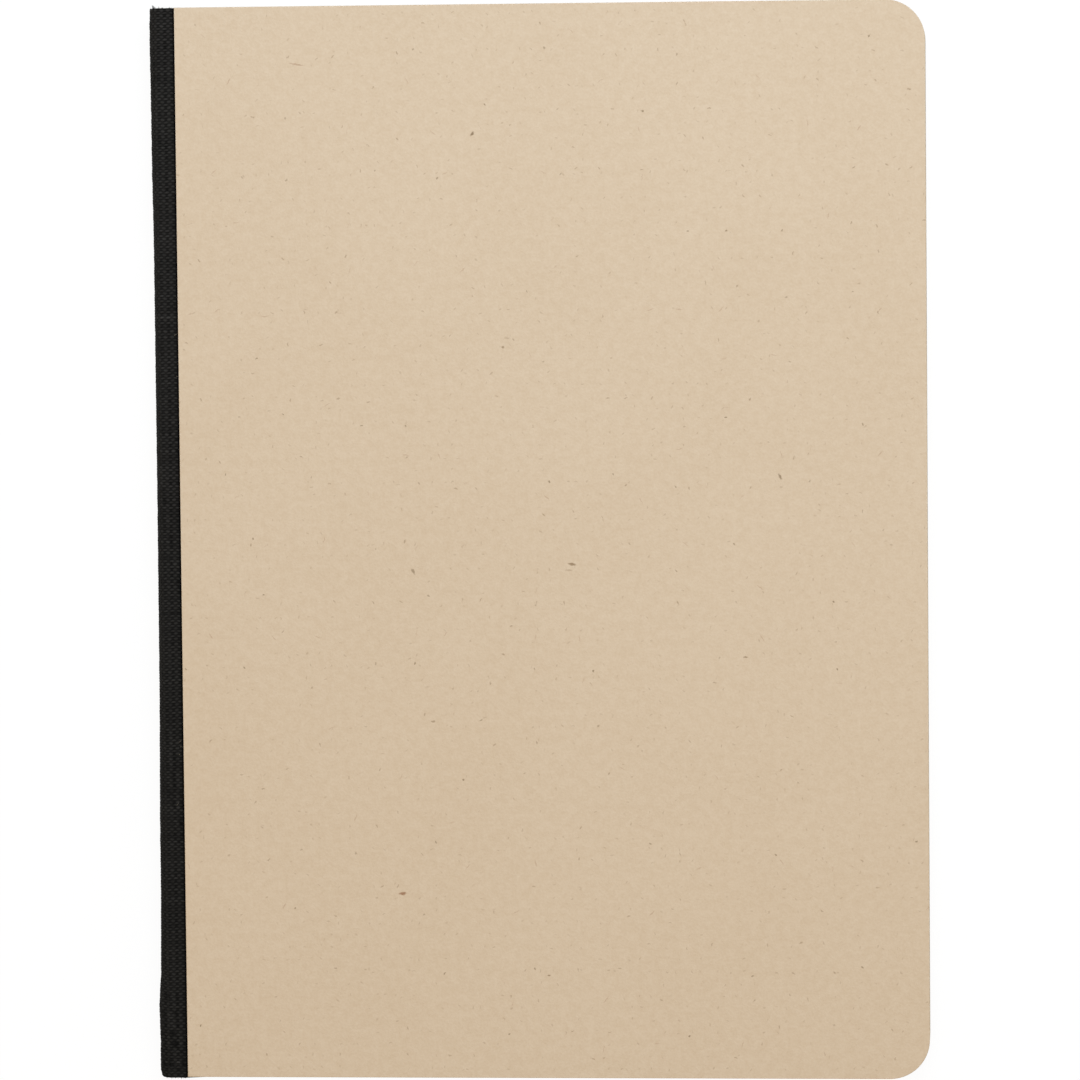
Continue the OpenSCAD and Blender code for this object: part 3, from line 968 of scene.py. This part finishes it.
def makeEndpaperStock(name, settings):
    # From paper to fibre colour by the product of a cloud and a fine tooth. On the pastedown, which lies
    # beyond the fold's middle, the relief steps up at the cloth's end, so that end shows as a ridge.
    material, tree = newMaterial(name)
    place = objectPlace(tree)
    cloud = unevenness(tree, place, **settings["cloud"])
    tooth = unevenness(tree, place, **settings["tooth"])
    both = addNode(tree, "ShaderNodeMath", {0: cloud, 1: tooth}, operation="MULTIPLY").outputs[0]
    share = addNode(tree, "ShaderNodeMath", {0: both, 1: settings["fibreShare"]}, operation="MULTIPLY")
    colour = layCoats(tree, linear(settings["paper"]), [(share.outputs[0], linear(settings["fibre"]))])
    split = addNode(tree, "ShaderNodeSeparateXYZ", {0: place})
    begins, full = [clothEndX + offset for offset in settings["ridgeWidth"]]
    climb = {"Value": split.outputs["X"], "From Min": begins, "From Max": full}
    ridge = addNode(tree, "ShaderNodeMapRange", climb).outputs[0]
    level = addNode(tree, "ShaderNodeMath", {0: split.outputs["Z"], 1: middleZ}, operation="SUBTRACT")
    level = addNode(tree, "ShaderNodeMath", {0: level.outputs[0]}, operation="ABSOLUTE").outputs[0]
    foldMiddle = halfBlock + settings["outerTurn"]
    pasted = addNode(tree, "ShaderNodeMath", {0: level, 1: foldMiddle}, operation="GREATER_THAN").outputs[0]
    ridge = addNode(tree, "ShaderNodeMath", {0: ridge, 1: pasted}, operation="MULTIPLY").outputs[0]
    height = weightedSum(tree, ridge, [(tooth, settings["toothHeight"])])
    finishMaterial(tree, colour, height, settings)
    return material


endpaperStock = makeEndpaperStock("creamEndpaper", endpaper)
for name, side, node, cover in (
    ("frontEndpaper", 1, "front_endpaper", "front_cover"),
    ("backEndpaper", -1, "back_endpaper", "back_cover"),
):
    piece = makeEndpaper(name, side, endpaper)
    piece.data.materials.append(endpaperStock)
    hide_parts(node)
    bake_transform(piece)
print("endpapers made")


# Page block: machine-made writing paper in nine sewn sections, trimmed with the boards in one cut. The cut
# edges show as fine stripes, one to a leaf, with painted shade where two leaves meet, and the sections part
# slightly.

pageBlock = {
    "leafRound": 0.035,  # each leaf's cut edge is a little round
    "leafRim": 0.06,  # how far inside the leaf its lowest and highest rows lie, as a share of the leaf
    "leafShift": 0.03,  # leaves stand back by up to this much, at random
    "seed": 7,
    "parting": 0.06,  # width and depth of the gap between two sections
    "partingDepth": 0.4,
    "straightSteps": 30,
    "cornerSteps": 12,
    "paper": "#F1EBDD",
    # the dark end of each leaf's tone, and the colour of the painted shade between leaves
    "shade": "#D9D0BC",
    # the dark line between leaves is painted shade
    "leafBody": (0.5, 0.3),  # where the dark line lies and the full tone begins, in leaves from the middle
    # single leaves are too fine to show from a step away, so bundles of a few leaves differ a little too
    "bundleStretch": (0.01, 0.01, 3.5),
    "bundle": {"size": 1.0, "roughness": 0.6},
    "toneBase": 0.25,
    "leafShare": 0.35,
    "bundleShare": 0.40,
    "bump": {"Strength": 0.4, "Distance": 0.035 * mm},
    "shine": {"Roughness": 0.9, "Specular IOR Level": 0.2},
}


def makePageBlock(name, settings):
    # Three rows to a leaf, its middle one standing proud, and two deep rows where sections meet. The back's
    # x at a height z is the fold's centre less the root of r^2 - (z - the section's middle)^2, so each fold
    # is round.
    ring = ringOutline(book["cornerRadius"], settings["straightSteps"], settings["cornerSteps"])
    draw = np.random.default_rng(settings["seed"])
    leafRim, leafRound = settings["leafRim"], settings["leafRound"]
    rows = []
    for section in range(book["sections"]):
        middle = (section - (book["sections"] - 1) / 2) * 2 * foldRadius
        foldX = backCentreX - math.sqrt(foldPathRadius**2 - middle**2)
        bottom = middle - foldRadius + settings["parting"] / 2
        top = middle + foldRadius - settings["parting"] / 2
        levels = []
        if section > 0:
            levels.append((bottom, settings["partingDepth"]))
        for leaf in range(book["leavesPerSection"]):
            low = middle - foldRadius + leaf * leafPitch
            shift = settings["leafShift"] * draw.random()
            for share, inset in ((leafRim, leafRound), (0.5, 0), (1 - leafRim, leafRound)):
                levels.append((min(max(low + share * leafPitch, bottom), top), inset + shift))
        if section < book["sections"] - 1:
            levels.append((top, settings["partingDepth"]))
        for z, inset in levels:
            back = foldX - math.sqrt(max(foldRadius**2 - (z - middle) ** 2, 0))
            rows.append(ringRow(ring, min(back, shoulderX), inset, z))
    rows[0][:, 2], rows[-1][:, 2] = -halfBlock, halfBlock
    count = len(rows[0])
    faces = gridFaces(len(rows), count, closed=True)
    smooth = [True] * len(faces) + [False] * 2
    faces.append(list(range(count))[::-1])
    faces.append(list(range((len(rows) - 1) * count, len(rows) * count)))
    return meshObject(name, np.concatenate(rows), faces, smooth)


def makeWritingPaper(name, settings):
    # Heights are counted in leaves from the bottom one. The whole part of that number draws the leaf's own
    # tone, and its fraction gives the body, which is 0 where two leaves meet: brightness = tone x body. That
    # dark line where two leaves meet is painted shade.
    material, tree = newMaterial(name)
    place = objectPlace(tree)
    z = addNode(tree, "ShaderNodeSeparateXYZ", {0: place}).outputs["Z"]
    raised = addNode(tree, "ShaderNodeMath", {0: z, 1: middleZ - halfBlock}, operation="SUBTRACT")
    leaf = addNode(tree, "ShaderNodeMath", {0: raised.outputs[0], 1: leafPitch}, operation="DIVIDE")
    within = addNode(tree, "ShaderNodeMath", {0: leaf.outputs[0]}, operation="FRACT")
    within = addNode(tree, "ShaderNodeMath", {0: within.outputs[0], 1: 0.5}, operation="SUBTRACT")
    within = addNode(tree, "ShaderNodeMath", {0: within.outputs[0]}, operation="ABSOLUTE").outputs[0]
    begins, full = settings["leafBody"]
    limits = {"Value": within, "From Min": begins, "From Max": full}
    body = addNode(tree, "ShaderNodeMapRange", limits).outputs[0]
    number = addNode(tree, "ShaderNodeMath", {0: leaf.outputs[0]}, operation="FLOOR").outputs[0]
    drawn = addNode(tree, "ShaderNodeTexWhiteNoise", {"W": number}, noise_dimensions="1D").outputs["Value"]
    stretch = {0: place, 1: settings["bundleStretch"]}
    layered = addNode(tree, "ShaderNodeVectorMath", stretch, operation="MULTIPLY").outputs[0]
    bundle = unevenness(tree, layered, **settings["bundle"])
    parts = [(drawn, settings["leafShare"]), (bundle, settings["bundleShare"])]
    tone = weightedSum(tree, settings["toneBase"], parts)
    # painted shade: dark where two leaves meet
    light = addNode(tree, "ShaderNodeMath", {0: tone, 1: body}, operation="MULTIPLY").outputs[0]
    colour = layCoats(tree, linear(settings["shade"]), [(light, linear(settings["paper"]))])
    finishMaterial(tree, colour, body, settings)
    return material


pages = makePageBlock("pageBlock", pageBlock)
pages.data.materials.append(makeWritingPaper("writingPaper", pageBlock))
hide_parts("page_block")
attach(pages, "book_block")
print("page block made")


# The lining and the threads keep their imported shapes

# Mull is open gauze, stiff with starch: its holes show darker between the threads
mull = {
    "gauze": "#E2DCCB",
    "hole": "#A79F8B",
    "pitch": 0.9,  # from thread to thread, in mm
    "openness": (-0.2, 0.8),  # height of the sines where a hole ends and a thread is full
    "bump": {"Strength": 0.5, "Distance": 0.1 * mm},
    "shine": {"Roughness": 0.9},
}

# Bleached linen thread: its plies wind round each other and show as slanting streaks
linen = {
    "thread": "#F6F2E8",
    "twist": "#D8D1C0",
    "ply": {"size": 0.25},
    "plyTurn": (0.6, 0.4, 0),
    "plyStretch": (1, 1, 6),
    "bump": {"Strength": 0.5, "Distance": 0.05 * mm},
    "shine": {"Roughness": 0.75},
}


def makeMull(name, settings):  # threads where either of two sines, along the spine or round it, is high
    material, tree = newMaterial(name)
    split = addNode(tree, "ShaderNodeSeparateXYZ", {0: objectPlace(tree)})
    perMm = 2 * math.pi / settings["pitch"]
    lines = []
    for axis in ("Y", "Z"):
        turned = addNode(tree, "ShaderNodeMath", {0: split.outputs[axis], 1: perMm}, operation="MULTIPLY")
        lines.append(addNode(tree, "ShaderNodeMath", {0: turned.outputs[0]}, operation="SINE").outputs[0])
    grid = addNode(tree, "ShaderNodeMath", {0: lines[0], 1: lines[1]}, operation="MAXIMUM").outputs[0]
    begins, full = settings["openness"]
    limits = {"Value": grid, "From Min": begins, "From Max": full}
    share = addNode(tree, "ShaderNodeMapRange", limits).outputs[0]
    colour = layCoats(tree, linear(settings["hole"]), [(share, linear(settings["gauze"]))])
    finishMaterial(tree, colour, share, settings)
    return material


def makeLinen(name, settings):  # noise, squeezed and tilted so that it runs slantwise like the plies
    material, tree = newMaterial(name)
    lay = {"Vector": objectPlace(tree), "Rotation": settings["plyTurn"], "Scale": settings["plyStretch"]}
    tilted = addNode(tree, "ShaderNodeMapping", lay)
    ply = unevenness(tree, tilted.outputs[0], **settings["ply"])
    colour = layCoats(tree, linear(settings["twist"]), [(ply, linear(settings["thread"]))])
    finishMaterial(tree, colour, ply, settings)
    return material


starchedMull = makeMull("starchedMull", mull)
linenThread = makeLinen("linenThread", linen)
for node, material in (("spine_lining", starchedMull), ("sewing_threads", linenThread)):
    mesh = frame["nodes"][node].data
    mesh.materials.clear()
    mesh.materials.append(material)
print("lining and threads painted")
